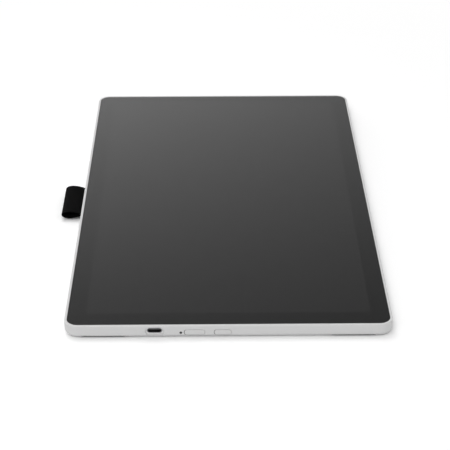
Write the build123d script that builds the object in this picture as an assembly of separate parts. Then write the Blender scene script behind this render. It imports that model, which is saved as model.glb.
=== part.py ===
from build123d import *
import math
import os

# Pen display tablet, all lengths in millimetres.
# X runs along the long side, Y away from the user and Z up. The tablet is drawn round its own centre,
# and is moved at the end so that the origin lies under the middle of its whole box, loop included.

# Screen
active_length = 309.4
active_width = 174.0
short_side_bezel = 12.3
long_side_bezel = 11.2
glass_corner_radius = 7.0
glass_thickness = 0.9
glass_edge_chamfer = 0.15
lcd_border_x = 3.2
lcd_border_y = 4.8

# Body
rim_width = 1.7
glass_gap = 0.15
lower_edge_radius = 2.4
rim_edge_chamfer = 0.25
foot_proud = 1.2
floor_thickness = 1.2
overrun = 1.0
fit_gap = 0.1
bore_gap = 0.05
small_round_sides = 10

# Layers between the floor and the glass
board_stand_off = 0.5
board_thickness = 0.8
component_space = 1.4
plate_thickness = 0.3
shield_thickness = 0.1
sensor_thickness = 0.4
tray_thickness = 0.2
reflector_thickness = 0.1
light_guide_thickness = 0.6
films_thickness = 0.4
array_glass_thickness = 0.5
colour_glass_thickness = 0.5
bond_thickness = 0.2

# Middle frame
frame_gap = 0.4
skirt_thickness = 1.0
flange_thickness = 1.0
frame_lcd_gap = 0.6
tape_inset = 0.3

# Feet and the screws that they hide
foot_length = 32.0
foot_width = 9.0
foot_recess = 0.4
foot_end_inset = 23.9
foot_offset = 1.0
foot_edge_chamfer = 0.3
cover_boss_height = 1.2
cover_boss_radius = 2.4
cover_screw_radius = 1.0
cover_screw_length = 4.4
cover_head_radius = 1.9
cover_head_height = 0.8
insert_radius = 1.6
insert_length = 2.6

# Port in the short side wall
port_rear_inset = 55.0
pocket_width = 11.7
pocket_height = 5.8
pocket_depth = 1.3
pocket_taper_angle = 14.0
pocket_wall = 1.0
pocket_floor_thickness = 1.2
usb_width = 8.94
usb_height = 3.26
usb_depth = 7.35
usb_wall = 0.3
usb_back_thickness = 1.4
usb_tongue_width = 6.69
usb_tongue_thickness = 0.7
usb_tongue_setback = 1.0
usb_contact_rows = 12
usb_contact_pitch = 0.5
usb_contact_width = 0.25
usb_contact_thickness = 0.05
usb_contact_length = 3.2
usb_leg_width = 1.0
usb_leg_inset = 3.2
usb_leg_spacing = 2.8

# Status light
led_spacing = 15.9
led_rise = 0.7
light_pipe_radius = 0.6
light_pipe_foot_width = 1.5
light_pipe_foot_height = 1.3
light_pipe_foot_thickness = 0.6
led_width = 1.6
led_depth = 0.6
led_height = 1.2

# Side keys and their switches
led_key_gap = 2.1
key_spacing = 5.7
power_key_width = 12.4
menu_key_width = 10.3
key_height = 3.6
key_travel = 0.35
key_gap = 0.2
key_wing_length = 1.0
key_wing_height = 2.6
key_wing_thickness = 0.7
key_wing_gap = 0.05
key_nub_width = 1.8
switch_height = 1.9
switch_width = 4.0
switch_depth = 3.0
switch_wall = 0.5
switch_setback = 0.2
plunger_width = 2.0
plunger_height = 0.8
plunger_reach = 0.5
plunger_depth = 0.8

# Main board
board_gap = 0.3
board_length_x = 64.0
board_rear_inset = 37.9
board_front_inset = 41.9
board_corner_cut = 14.0
board_screw_inset = 6.0
board_screw_radius = 0.8
board_screw_length = 1.9
board_head_radius = 1.5
board_head_height = 0.6
board_boss_radius = 2.3
processor_size = 12.0
processor_height = 0.8
shield_can_length = 26.0
shield_can_width = 22.0
shield_can_height = 1.2
shield_can_wall = 0.2
large_chip_size = 9.0
small_chip_size = 5.0
chip_height = 1.0
coil_size = 4.2
capacitor_length = 1.6
capacitor_width = 0.8
connector_height = 1.0
connector_depth = 3.6
display_connector_length = 18.0
display_connector_inset = 41.45
display_cable_width = 14.0
flex_thickness = 0.2
flex_bend_radius = 0.5
sensor_connector_length = 18.0
sensor_cable_width = 14.0
sensor_inset = 1.4
sensor_cable_reach = 2.8
sheet_thickness = 0.1
sheet_margin = 2.0

# Places on the main board, as shares of its length and width
shield_can_shares = (0.55, 0.30)
large_chip_shares = [(0.40, 0.74), (0.66, 0.74)]
small_chip_shares = [(0.22, 0.70), (0.24, 0.46), (0.86, 0.52), (0.86, 0.30)]
coil_shares = [(0.86, 0.66), (0.34, 0.88), (0.50, 0.88)]
capacitor_row_share = 0.58
capacitor_start_shares = [0.20, 0.52]
capacitor_count = 6
capacitor_span_share = 0.26

# Display driver board, hung under the stiffening plate
driver_board_width = 9.0
driver_board_thickness = 0.6
driver_board_end = 3.0
driver_board_edge_gap = 0.4
driver_tape_thickness = 0.2
driver_tail_count = 3
driver_tail_width = 28.0
driver_tail_end_room = 45.4
driver_tail_thickness = 0.15
driver_tail_bond = 5.0
array_ledge = 1.5
tail_bulge = 0.6
tail_notch_gap = 0.5

# Backlight
light_frame_width = 1.6
light_frame_gap = 0.1
light_strip_thickness = 0.1
light_strip_width = 1.5
led_count = 14
led_block_length = 3.0
led_block_width = 0.8
led_block_height = 0.4

# Stiffening plate
plate_inset = 0.3
plate_ear_width = 6.0
plate_screw_count = 2
plate_screw_radius = 0.8
plate_screw_length = 1.8
plate_head_radius = 1.4
plate_head_height = 0.5
plate_boss_radius = 2.0
plate_slot_length = 48.0
plate_slot_width = 7.0
plate_slot_x_count = 3
plate_slot_y_count = 2
plate_slot_shares = (0.62, 0.44)

# Ribs and pads on the cover's floor
rib_thickness = 0.8
rib_height = 2.0
rib_x_count = 6
rib_y_count = 5
rib_board_gap = 11.45
rib_edge_inset_x = 18.7
rib_edge_inset_y = 24.9
pad_length = 24.0
pad_width = 14.0

# Snap hooks between the frame and the cover
snap_length = 8.0
snap_height = 0.8
snap_catch = 0.3
snap_clearance = 0.15
snap_rise = 2.6
long_side_snap_count = 3
long_side_snap_inset = 36.75
snap_clamp_gap = 0.6
short_side_snap_count = 3
short_side_snap_inset = 47.95

# Pen loop
loop_x = -1.0
loop_width = 38.0
loop_reach = 14.2
loop_height = 5.0
loop_fabric = 0.7
loop_nose_radius = 1.6
loop_crown_share = 0.5
loop_pad_height = 1.2
loop_slot_gap = 0.2
clamp_thickness = 1.2
clamp_width = 4.2
clamp_ear = 5.0
clamp_edge_gap = 0.5
clamp_screw_length = 2.6

# Places worked out from the sizes above
glass_length = active_length + 2 * short_side_bezel
glass_width = active_width + 2 * long_side_bezel
body_length = glass_length + 2 * rim_width
body_width = glass_width + 2 * rim_width
body_corner_radius = glass_corner_radius + rim_width
wall_thickness = rim_width - glass_gap
cavity_length = body_length - 2 * wall_thickness
cavity_width = body_width - 2 * wall_thickness
cavity_radius = body_corner_radius - wall_thickness
lcd_length = active_length + 2 * lcd_border_x
lcd_width = active_width + 2 * lcd_border_y
frame_length = cavity_length - 2 * frame_gap
frame_width = cavity_width - 2 * frame_gap
frame_radius = cavity_radius - frame_gap
opening_length = lcd_length + 2 * frame_lcd_gap
opening_width = lcd_width + 2 * frame_lcd_gap

cover_bottom = foot_proud
floor_top = cover_bottom + floor_thickness
board_bottom = floor_top + board_stand_off
board_top = board_bottom + board_thickness
plate_bottom = board_top + component_space
plate_top = plate_bottom + plate_thickness
shield_top = plate_top + shield_thickness
sensor_top = shield_top + sensor_thickness
tray_top = sensor_top + tray_thickness
reflector_top = tray_top + reflector_thickness
light_guide_top = reflector_top + light_guide_thickness
films_top = light_guide_top + films_thickness
array_glass_top = films_top + array_glass_thickness
colour_glass_top = array_glass_top + colour_glass_thickness
glass_bottom = colour_glass_top + bond_thickness
glass_top = glass_bottom + glass_thickness
flange_bottom = colour_glass_top - flange_thickness

wall_outer_x = -body_length / 2
wall_inner_x = -cavity_length / 2
skirt_outer_x = -frame_length / 2
skirt_inner_x = skirt_outer_x + skirt_thickness
board_left_x = skirt_inner_x + board_gap
board_right_x = board_left_x + board_length_x
board_rear_y = body_width / 2 - board_rear_inset
board_front_y = -body_width / 2 + board_front_inset
switch_front_x = board_left_x + switch_setback
plunger_tip_x = switch_front_x - plunger_reach
pocket_floor_x = wall_outer_x + pocket_depth
pocket_back_x = pocket_floor_x + pocket_floor_thickness
usb_back_x = pocket_floor_x + usb_depth
port_y = body_width / 2 - port_rear_inset
port_z = board_top + usb_height / 2
key_z = board_top + switch_height / 2
led_y = port_y - led_spacing
power_key_y = led_y - led_key_gap - power_key_width / 2
menu_key_y = power_key_y - power_key_width / 2 - key_spacing - menu_key_width / 2
led_z = board_top + led_rise

screw_x = (frame_length + opening_length) / 4
foot_x = screw_x - foot_offset
foot_place_y = body_width / 2 - foot_end_inset
cover_boss_top = floor_top + cover_boss_height
rib_left_x = board_right_x + rib_board_gap
rib_right_x = body_length / 2 - rib_edge_inset_x
rib_front_y = -body_width / 2 + rib_edge_inset_y
rib_rear_y = body_width / 2 - rib_edge_inset_y
plate_screw_y = (frame_width + opening_width) / 4
driver_tail_spacing = (lcd_length - 2 * driver_tail_end_room) / driver_tail_count
driver_board_front_y = -lcd_width / 2 + driver_board_edge_gap
driver_board_rear_y = driver_board_front_y + driver_board_width
driver_board_top = plate_bottom - driver_tape_thickness
driver_board_bottom = driver_board_top - driver_board_thickness
wall_outer_y = body_width / 2
wall_inner_y = cavity_width / 2
loop_bottom = floor_top + loop_pad_height
loop_top = loop_bottom + 2 * loop_fabric
loop_z = loop_bottom + loop_fabric
loop_inner_y = wall_inner_y - frame_gap - skirt_thickness - clamp_edge_gap - clamp_width
clamp_half = loop_width / 2 + clamp_ear
clamp_screw_offset = loop_width / 2 + clamp_ear / 2


def block(x_range, y_range, z_range):
    """Box between three pairs of limits."""
    low = Pos(x_range[0], y_range[0], z_range[0])
    size = Box(
        x_range[1] - x_range[0],
        y_range[1] - y_range[0],
        z_range[1] - z_range[0],
        align=(Align.MIN, Align.MIN, Align.MIN),
    )
    return low * size


def around(centre, width):
    """Limits of a width about its middle."""
    return (centre - width / 2, centre + width / 2)


def slab(length, width, radius, bottom, top):
    """Plate with rounded corners about the tablet's centre."""
    outline = RectangleRounded(length, width, radius)
    return extrude(Plane.XY.offset(bottom) * outline, top - bottom)


def sheet(length, width, bottom, top):
    """Square-cornered layer about the tablet's centre."""
    return block(around(0, length), around(0, width), (bottom, top))


def rod(place, radius, bottom, top):
    """Small upright round, for hidden screws, bosses and their holes, drawn with a few flat sides."""
    outline = Pos(place[0], place[1]) * RegularPolygon(radius, small_round_sides)
    return extrude(Plane.XY.offset(bottom) * outline, top - bottom)


def pill(y, z, width, height, x_range, taper=0):
    """Lying pill shape run along X through the short side wall."""
    face = Plane(origin=(x_range[0], y, z), x_dir=(0, 1, 0), z_dir=(1, 0, 0))
    return extrude(face * SlotOverall(width, height), x_range[1] - x_range[0], taper=taper)


def spread(count, first, last):
    """Evenly spaced places from first to last."""
    return [first + (last - first) * i / (count - 1) for i in range(count)]


def ribbon(points, thickness, bend, plane, width):
    """Flat cable: a bent centre line given a thickness and run along its width."""
    line = FilletPolyline(*points, radius=bend)
    strip = trace(line, line_width=thickness)
    return extrude(plane * strip, width / 2, both=True)


def pan_screw(place, shank_radius, head_radius, seat, length, head_height, up):
    """Pan head screw whose head bears on the height named seat, and whose shank runs up or down."""
    tip = seat + up * length
    crown = seat - up * head_height
    head = rod(place, head_radius, min(seat, crown), max(seat, crown))
    return head + rod(place, shank_radius, min(seat, tip), max(seat, tip))


def cover_screw_places():
    """One screw over each of the four feet."""
    return [(side * screw_x, end * foot_place_y) for side in (-1, 1) for end in (-1, 1)]


def board_screw_places():
    """Screws near the main board's corners."""
    return [
        (x, y)
        for x in (board_left_x + board_screw_inset, board_right_x - board_screw_inset)
        for y in (board_front_y + board_screw_inset, board_rear_y - board_screw_inset)
    ]


def plate_screw_places():
    """Screws through the ears on both long sides of the stiffening plate, clear of the display tails."""
    half = driver_tail_spacing * driver_tail_count / 2
    return [
        (x, side * plate_screw_y) for x in spread(plate_screw_count, -half, half) for side in (-1, 1)
    ]


def clamp_screw_places():
    """Screws at the two ends of the bar that holds the loop."""
    y = loop_inner_y + clamp_width / 2
    return [(loop_x + side * clamp_screw_offset, y) for side in (-1, 1)]


def snap_places():
    """Middle of each snap hook on the frame's outline, clear of the clamp, and the way that it points."""
    first = abs(loop_x) + clamp_half + frame_gap + snap_length / 2 + snap_clamp_gap
    last = frame_length / 2 - long_side_snap_inset
    places = []
    for x in spread(long_side_snap_count, first, last):
        places += [(end * x, side * frame_width / 2, 0, side) for side in (-1, 1) for end in (-1, 1)]
    half = frame_width / 2 - short_side_snap_inset
    for y in spread(short_side_snap_count, -half, half):
        places.append((frame_length / 2, y, 1, 0))
    return places


def outer_form():
    """The whole body's outside: rounded corners, a round lower edge and a fine rim chamfer."""
    form = slab(body_length, body_width, body_corner_radius, cover_bottom, glass_top)
    form = fillet(form.faces().sort_by(Axis.Z)[0].edges(), lower_edge_radius)
    return chamfer(form.faces().sort_by(Axis.Z)[-1].edges(), rim_edge_chamfer)


def foot_outline(x, y, grow):
    """Pill outline of a foot, long along Y."""
    return Pos(x, y) * Rot(0, 0, 90) * SlotOverall(foot_length + 2 * grow, foot_width + 2 * grow)


def foot_places():
    """Name and place of each foot."""
    return [
        (f"foot_{row}_{side}", sx * foot_x, sy * foot_place_y)
        for row, sy in (("front", -1), ("rear", 1))
        for side, sx in (("left", -1), ("right", 1))
    ]


def cover_additions():
    """Everything moulded on the inside of the cover's floor and walls."""
    port_boss_y = around(port_y, pocket_width + 2 * pocket_wall)
    port_boss_x = (wall_inner_x - fit_gap, pocket_back_x)
    added = [block(port_boss_x, port_boss_y, (floor_top - fit_gap, glass_bottom - fit_gap))]
    for place in cover_screw_places():
        added.append(rod(place, cover_boss_radius, floor_top - fit_gap, cover_boss_top))
    for place in board_screw_places():
        added.append(rod(place, board_boss_radius, floor_top - fit_gap, board_bottom))
    for place in clamp_screw_places():
        added.append(rod(place, clamp_width / 2, floor_top - fit_gap, loop_top))
    loop_pad_x = around(loop_x, loop_width + 2 * loop_slot_gap)
    loop_pad_y = (loop_inner_y, wall_inner_y + fit_gap)
    added.append(block(loop_pad_x, loop_pad_y, (floor_top - fit_gap, loop_bottom)))
    rib_z = (floor_top - fit_gap, floor_top + rib_height)
    for x in spread(rib_x_count, rib_left_x, rib_right_x):
        added.append(block(around(x, rib_thickness), (rib_front_y, rib_rear_y), rib_z))
    for y in spread(rib_y_count, rib_front_y, rib_rear_y):
        added.append(block((rib_left_x, rib_right_x), around(y, rib_thickness), rib_z))
    return added


def wall_openings():
    """Port pocket, port, status light hole and key holes through the short side wall."""
    through = (wall_outer_x - overrun, pocket_back_x + overrun)
    pocket = pill(
        port_y,
        port_z,
        pocket_width + 2 * overrun * math.tan(math.radians(pocket_taper_angle)),
        pocket_height + 2 * overrun * math.tan(math.radians(pocket_taper_angle)),
        (wall_outer_x - overrun, pocket_floor_x),
        taper=pocket_taper_angle,
    )
    cuts = [pocket]
    cuts.append(pill(port_y, port_z, usb_width + 2 * fit_gap, usb_height + 2 * fit_gap, through))
    for y, width in ((power_key_y, power_key_width), (menu_key_y, menu_key_width)):
        cuts.append(pill(y, key_z, width + 2 * key_gap, key_height + 2 * key_gap, through))
    hole = Plane(origin=(through[0], led_y, led_z), z_dir=(1, 0, 0))
    cuts.append(extrude(hole * Circle(light_pipe_radius + bore_gap), through[1] - through[0]))
    return cuts


def floor_cuts():
    """Foot recesses, screw holes, loop slot and snap recesses."""
    cuts = []
    for _, x, y in foot_places():
        recess = Plane.XY.offset(cover_bottom - overrun) * foot_outline(x, y, fit_gap)
        cuts.append(extrude(recess, overrun + foot_recess))
    head_top = cover_boss_top - cover_head_height
    for place in cover_screw_places():
        cuts.append(rod(place, cover_head_radius + fit_gap, cover_bottom - overrun, head_top))
        cuts.append(rod(place, cover_screw_radius + fit_gap, head_top - overrun, cover_boss_top + overrun))
    board_hole_bottom = board_top - board_screw_length - bore_gap
    for place in board_screw_places():
        cuts.append(rod(place, board_screw_radius + bore_gap, board_hole_bottom, board_bottom + overrun))
    clamp_hole_bottom = loop_top + clamp_thickness - clamp_screw_length - bore_gap
    for place in clamp_screw_places():
        cuts.append(rod(place, board_screw_radius + bore_gap, clamp_hole_bottom, loop_top + overrun))
    slot_z = (loop_bottom, loop_top + fit_gap)
    slot_y = (wall_inner_y - overrun, wall_outer_y + overrun)
    cuts.append(block(around(loop_x, loop_width + 2 * loop_slot_gap), slot_y, slot_z))
    for x, y, out_x, out_y in snap_places():
        reach = frame_gap + snap_catch + snap_clearance
        cuts.append(snap_block(x, y, out_x, out_y, reach, snap_clearance))
    return cuts


def snap_block(x, y, out_x, out_y, reach, grow):
    """Bar that stands out of the frame's outline by a reach, for a hook or for its recess."""
    half = snap_length / 2 + grow
    along_x = abs(out_y) * half
    along_y = abs(out_x) * half
    x_range = sorted((x - along_x + out_x * reach, x + along_x - out_x * skirt_thickness / 2))
    y_range = sorted((y - along_y + out_y * reach, y + along_y - out_y * skirt_thickness / 2))
    low = floor_top + snap_rise
    return block(x_range, y_range, (low - grow, low + snap_height + grow))


def make_back_cover():
    """White moulded tray: floor, walls up to the glass rim, bosses, ribs and openings."""
    cavity = slab(cavity_length, cavity_width, cavity_radius, floor_top, glass_top + overrun)
    cavity = chamfer(cavity.faces().sort_by(Axis.Z)[0].edges(), frame_gap - fit_gap)
    cover = outer_form() - cavity
    cover = cover + cover_additions()
    return cover - wall_openings() - floor_cuts()


def port_notch(grow):
    """Space taken by the moulded boss behind the port pocket, with a clearance."""
    x_range = (wall_inner_x - overrun, pocket_back_x + grow)
    y_range = around(port_y, pocket_width + 2 * pocket_wall + 2 * grow)
    return block(x_range, y_range, (floor_top - overrun, glass_bottom + overrun))


def frame_openings():
    """Gaps that the frame leaves for the port, keys, light, loop clamp and display tails."""
    below = floor_top - overrun
    port_x = (wall_inner_x - overrun, usb_back_x + frame_gap)
    port_top = port_z + usb_height / 2 + fit_gap
    cuts = [port_notch(fit_gap)]
    cuts.append(block(port_x, around(port_y, usb_width + 2 * frame_gap), (below, port_top)))
    key_low = menu_key_y - menu_key_width / 2 - key_wing_length - frame_gap
    key_high = led_y + light_pipe_foot_width / 2 + frame_gap
    key_top = key_z + key_height / 2 + fit_gap
    cuts.append(block((wall_inner_x - overrun, switch_front_x), (key_low, key_high), (below, key_top)))
    clamp_y = (loop_inner_y - frame_gap, wall_inner_y + overrun)
    clamp_z = (below, loop_top + clamp_thickness + board_head_height + fit_gap)
    cuts.append(block(around(loop_x, 2 * clamp_half + 2 * frame_gap), clamp_y, clamp_z))
    tail_y = (-opening_width / 2 - tail_bulge - tail_notch_gap, -opening_width / 2 + overrun)
    for x in tail_places():
        cuts.append(block(around(x, driver_tail_width + 2 * tail_notch_gap), tail_y, (below, glass_bottom)))
    return cuts


def make_mid_frame():
    """Black inner frame: a flange that the glass is taped to, a skirt on the floor, bosses and hooks."""
    outer = slab(frame_length, frame_width, frame_radius, floor_top, colour_glass_top)
    opening = sheet(opening_length, opening_width, floor_top - overrun, glass_top)
    hollow = slab(
        frame_length - 2 * skirt_thickness,
        frame_width - 2 * skirt_thickness,
        frame_radius - skirt_thickness,
        floor_top - overrun,
        flange_bottom,
    )
    frame = outer - opening - hollow
    frame = frame - frame_openings()
    added = []
    for place in cover_screw_places():
        added.append(rod(place, cover_boss_radius, cover_boss_top, flange_bottom + fit_gap))
    for place in plate_screw_places():
        added.append(rod(place, plate_boss_radius, plate_top, flange_bottom + fit_gap))
    for x, y, out_x, out_y in snap_places():
        added.append(snap_block(x, y, out_x, out_y, frame_gap + snap_catch, 0))
    frame = frame + added
    holes = []
    for place in cover_screw_places():
        insert_top = cover_boss_top + insert_length
        holes.append(rod(place, insert_radius + bore_gap, cover_boss_top - overrun, insert_top))
        tip = cover_boss_top - cover_head_height + cover_screw_length + bore_gap
        holes.append(rod(place, cover_screw_radius + bore_gap, cover_boss_top, max(tip, insert_top)))
    for place in plate_screw_places():
        tip = plate_bottom + plate_screw_length + bore_gap
        holes.append(rod(place, plate_screw_radius + bore_gap, plate_top - overrun, tip))
    return frame - holes


def make_glass_tape():
    """Border tape that holds the glass down on the frame's flange."""
    outer = slab(
        frame_length - 2 * tape_inset,
        frame_width - 2 * tape_inset,
        frame_radius - tape_inset,
        colour_glass_top,
        glass_bottom,
    )
    inner = sheet(
        opening_length + 2 * tape_inset,
        opening_width + 2 * (tail_bulge + tail_notch_gap + tape_inset),
        colour_glass_top - overrun,
        glass_bottom + overrun,
    )
    return outer - inner - port_notch(fit_gap)


def make_cover_glass():
    """Etched cover glass with a fine chamfer round its top edge."""
    glass = slab(glass_length, glass_width, glass_corner_radius, glass_bottom, glass_top)
    return chamfer(glass.faces().sort_by(Axis.Z)[-1].edges(), glass_edge_chamfer)


def make_feet():
    """Rubber feet, each a pill with a chamfered sole, seated in its recess."""
    feet = {}
    for name, x, y in foot_places():
        pad = extrude(Plane.XY * foot_outline(x, y, 0), cover_bottom + foot_recess)
        feet[name] = chamfer(pad.faces().sort_by(Axis.Z)[0].edges(), foot_edge_chamfer)
    return feet


def make_key(y, width):
    """Side key: a pill that fills its hole flush with the wall, wings behind the wall and a nub."""
    wing_outer = wall_inner_x + key_wing_gap
    wing_inner = wing_outer + key_wing_thickness
    cap = pill(y, key_z, width, key_height, (wall_outer_x - overrun, wing_inner))
    cap = cap & outer_form()
    wing_y = around(y, width + 2 * key_wing_length)
    wings = block((wing_outer, wing_inner), wing_y, around(key_z, key_wing_height))
    nub = block((wing_inner, plunger_tip_x), around(y, key_nub_width), around(key_z, plunger_height))
    return cap + wings + nub


def make_switch(y):
    """Side push switch on the board's edge, with the pocket that its plunger slides in."""
    x_range = (switch_front_x, switch_front_x + switch_depth)
    case = block(x_range, around(y, switch_width), (board_top, board_top + switch_height))
    lip = chamfer(case.faces().sort_by(Axis.Z)[-1].edges(), switch_wall / 2)
    pocket_x = (switch_front_x - overrun, switch_front_x + plunger_depth + key_travel + fit_gap)
    pocket_y = around(y, plunger_width + 2 * fit_gap)
    return lip - block(pocket_x, pocket_y, around(key_z, plunger_height + 2 * fit_gap))


def make_plunger(y):
    """Switch plunger, seated in the switch and touched by the key's nub."""
    x_range = (plunger_tip_x, switch_front_x + plunger_depth)
    return block(x_range, around(y, plunger_width), around(key_z, plunger_height))


def make_usb_shell():
    """Stamped steel shell of the port: a pill tube with a closed back and four legs in the board."""
    x_range = (pocket_floor_x, usb_back_x)
    shell = pill(port_y, port_z, usb_width, usb_height, x_range)
    bore_x = (pocket_floor_x - overrun, usb_back_x - usb_wall)
    shell = shell - pill(port_y, port_z, usb_width - 2 * usb_wall, usb_height - 2 * usb_wall, bore_x)
    legs = []
    for x in (pocket_floor_x + usb_leg_inset, pocket_floor_x + usb_leg_inset + usb_leg_spacing):
        for side in (-1, 1):
            outer = port_y + side * usb_width / 2
            inner = outer - side * usb_wall
            legs.append(block(around(x, usb_leg_width), sorted((inner, outer)), (board_bottom, port_z)))
    return shell + legs


def make_usb_tongue():
    """Moulded insulator: a plug in the back of the shell and the tongue that carries the contacts."""
    plug_x = (usb_back_x - usb_wall - usb_back_thickness, usb_back_x - usb_wall)
    inner_width = usb_width - 2 * usb_wall - 2 * bore_gap
    inner_height = usb_height - 2 * usb_wall - 2 * bore_gap
    plug = pill(port_y, port_z, inner_width, inner_height, plug_x)
    tongue_x = (pocket_floor_x + usb_tongue_setback, plug_x[0])
    tongue = block(tongue_x, around(port_y, usb_tongue_width), around(port_z, usb_tongue_thickness))
    return plug + tongue


def make_usb_contacts():
    """Two rows of contacts on the faces of the tongue."""
    x_range = (
        usb_back_x - usb_wall - usb_back_thickness - usb_contact_length,
        usb_back_x - usb_wall - usb_back_thickness,
    )
    half = usb_contact_pitch * (usb_contact_rows - 1) / 2
    upper = (port_z + usb_tongue_thickness / 2, port_z + usb_tongue_thickness / 2 + usb_contact_thickness)
    lower = (port_z - usb_tongue_thickness / 2 - usb_contact_thickness, port_z - usb_tongue_thickness / 2)
    contacts = []
    for y in spread(usb_contact_rows, port_y - half, port_y + half):
        for z_range in (upper, lower):
            contacts.append(block(x_range, around(y, usb_contact_width), z_range))
    return Compound(contacts)


def make_light_pipe():
    """Clear pipe in the wall's round hole, with a foot behind the wall and a square stem to the light."""
    foot_back_x = wall_inner_x + light_pipe_foot_thickness
    foot_y = around(led_y, light_pipe_foot_width)
    foot = block((wall_inner_x, foot_back_x), foot_y, around(led_z, light_pipe_foot_height))
    start = Plane(origin=(wall_outer_x, led_y, led_z), z_dir=(1, 0, 0))
    face = extrude(start * Circle(light_pipe_radius), wall_inner_x - wall_outer_x)
    stem_width = around(led_y, 2 * light_pipe_radius)
    stem = block((foot_back_x, switch_front_x), stem_width, around(led_z, 2 * light_pipe_radius))
    return face + foot + stem


def make_status_led():
    """Side firing status light on the board's edge."""
    x_range = (switch_front_x, switch_front_x + led_depth)
    return block(x_range, around(led_y, led_width), (board_top, board_top + led_height))


def make_main_board():
    """Circuit board with a cut corner, screw holes and slots for the port's legs."""
    outline = block((board_left_x, board_right_x), (board_front_y, board_rear_y), (board_bottom, board_top))
    corner = outline.edges().filter_by(Axis.Z).group_by(Axis.X)[-1].sort_by(Axis.Y)[-1]
    board = chamfer(corner, board_corner_cut)
    hole_radius = board_screw_radius + fit_gap
    cuts = [rod(place, hole_radius, floor_top, plate_bottom) for place in board_screw_places()]
    for x in (pocket_floor_x + usb_leg_inset, pocket_floor_x + usb_leg_inset + usb_leg_spacing):
        for side in (-1, 1):
            y = port_y + side * (usb_width - usb_wall) / 2
            leg_y = around(y, usb_wall + 2 * fit_gap)
            cuts.append(block(around(x, usb_leg_width + 2 * fit_gap), leg_y, (floor_top, plate_bottom)))
    return board - cuts


def on_board(x_share, y_share):
    """Place on the main board, as shares of its length and width."""
    x = board_left_x + (board_right_x - board_left_x) * x_share
    y = board_front_y + (board_rear_y - board_front_y) * y_share
    return x, y


def chip(places, length, width, height):
    """Blocks of one size standing on the board."""
    return [
        block(around(x, length), around(y, width), (board_top, board_top + height)) for x, y in places
    ]


def make_board_chips():
    """Driver and power chips, coils and rows of small capacitors."""
    parts = chip([on_board(*s) for s in large_chip_shares], large_chip_size, large_chip_size, chip_height)
    parts += chip([on_board(*s) for s in small_chip_shares], small_chip_size, small_chip_size, chip_height)
    parts += chip([on_board(*s) for s in coil_shares], coil_size, coil_size, chip_height)
    for start in capacitor_start_shares:
        shares = spread(capacitor_count, start, start + capacitor_span_share)
        places = [on_board(share, capacitor_row_share) for share in shares]
        parts += chip(places, capacitor_width, capacitor_length, capacitor_width)
    return Compound(parts)


def make_processor():
    """Main chip under the shield can."""
    return chip([on_board(*shield_can_shares)], processor_size, processor_size, processor_height)[0]


def make_shield_can():
    """Thin drawn steel can over the main chip."""
    place = [on_board(*shield_can_shares)]
    can = chip(place, shield_can_length, shield_can_width, shield_can_height)[0]
    inner_length = shield_can_length - 2 * shield_can_wall
    inner_width = shield_can_width - 2 * shield_can_wall
    inside = chip(place, inner_length, inner_width, shield_can_height - shield_can_wall)[0]
    return chamfer(can.edges().filter_by(Axis.Z), shield_can_wall) - inside


def tail_places():
    """Middle of each display tail along X."""
    half = driver_tail_spacing * (driver_tail_count - 1) / 2
    return spread(driver_tail_count, -half, half)


def display_connector_x():
    """Middle of the two connectors that the display cable joins, near the main board's right end."""
    return board_left_x + display_connector_inset


def driver_board_limits():
    """Ends of the driver board along X: past its connector, and past the last tail."""
    first = display_connector_x() - display_connector_length
    last = tail_places()[-1] + driver_tail_width / 2 + driver_board_end
    return (first, last)


def make_display_connectors():
    """Two low flat cable connectors, on the main board and under the driver board."""
    x_range = around(display_connector_x(), display_connector_length)
    front = board_front_y + fit_gap
    lower = block(x_range, (front, front + connector_depth), (board_top, board_top + connector_height))
    rear = driver_board_rear_y - fit_gap
    hung_z = (driver_board_bottom - connector_height, driver_board_bottom)
    return Compound([lower, block(x_range, (rear - connector_depth, rear), hung_z)])


def make_display_cable():
    """Flat cable between the main board and the display driver board."""
    start = (board_front_y + fit_gap, board_top + connector_height / 2)
    end = (driver_board_rear_y - fit_gap, driver_board_bottom - connector_height / 2)
    run = (start[0] - end[0]) / 3
    points = [start, (start[0] - run, start[1]), (end[0] + run, end[1]), end]
    plane = Plane.YZ.offset(display_connector_x())
    return ribbon(points, flex_thickness, flex_bend_radius, plane, display_cable_width)


def sensor_connector_y():
    """The sensor's cable comes down between the keys and the board's front edge."""
    return board_front_y + (board_rear_y - board_front_y) / 4


def sensor_connector_x():
    """Left face of the sensor's connector."""
    return -lcd_length / 2 + sensor_inset + connector_depth


def make_sensor_connector():
    """Flat cable connector for the pen sensor, on the main board."""
    x_range = (sensor_connector_x(), sensor_connector_x() + connector_depth)
    y_range = around(sensor_connector_y(), sensor_connector_length)
    return block(x_range, y_range, (board_top, board_top + connector_height))


def make_sensor_cable():
    """Flat cable folded round the stiffening plate's edge from the pen sensor to the main board."""
    edge = -lcd_length / 2 + sensor_inset
    turn = edge - sensor_cable_reach
    upper = shield_top + sensor_thickness / 2
    lower = board_top + connector_height / 2
    points = [(edge, upper), (turn, upper), (turn, lower), (sensor_connector_x(), lower)]
    plane = Plane.XZ.offset(-sensor_connector_y())
    return ribbon(points, flex_thickness, flex_bend_radius, plane, sensor_cable_width)


def make_insulating_sheet():
    """Thin film under the stiffening plate, over the whole main board."""
    left = -lcd_length / 2 + plate_inset + sheet_margin
    y_range = (board_front_y - sheet_margin, board_rear_y + sheet_margin)
    z_range = (plate_bottom - sheet_thickness, plate_bottom)
    return block((left, board_right_x + sheet_margin), y_range, z_range)


def make_driver_board():
    """Long narrow display driver board under the panel's front edge."""
    y_range = (driver_board_front_y, driver_board_rear_y)
    return block(driver_board_limits(), y_range, (driver_board_bottom, driver_board_top))


def make_driver_tape():
    """Double sided tape that hangs the driver board from the stiffening plate."""
    y_range = (driver_board_front_y + plate_inset, driver_board_rear_y)
    return block(driver_board_limits(), y_range, (driver_board_top, plate_bottom))


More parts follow.
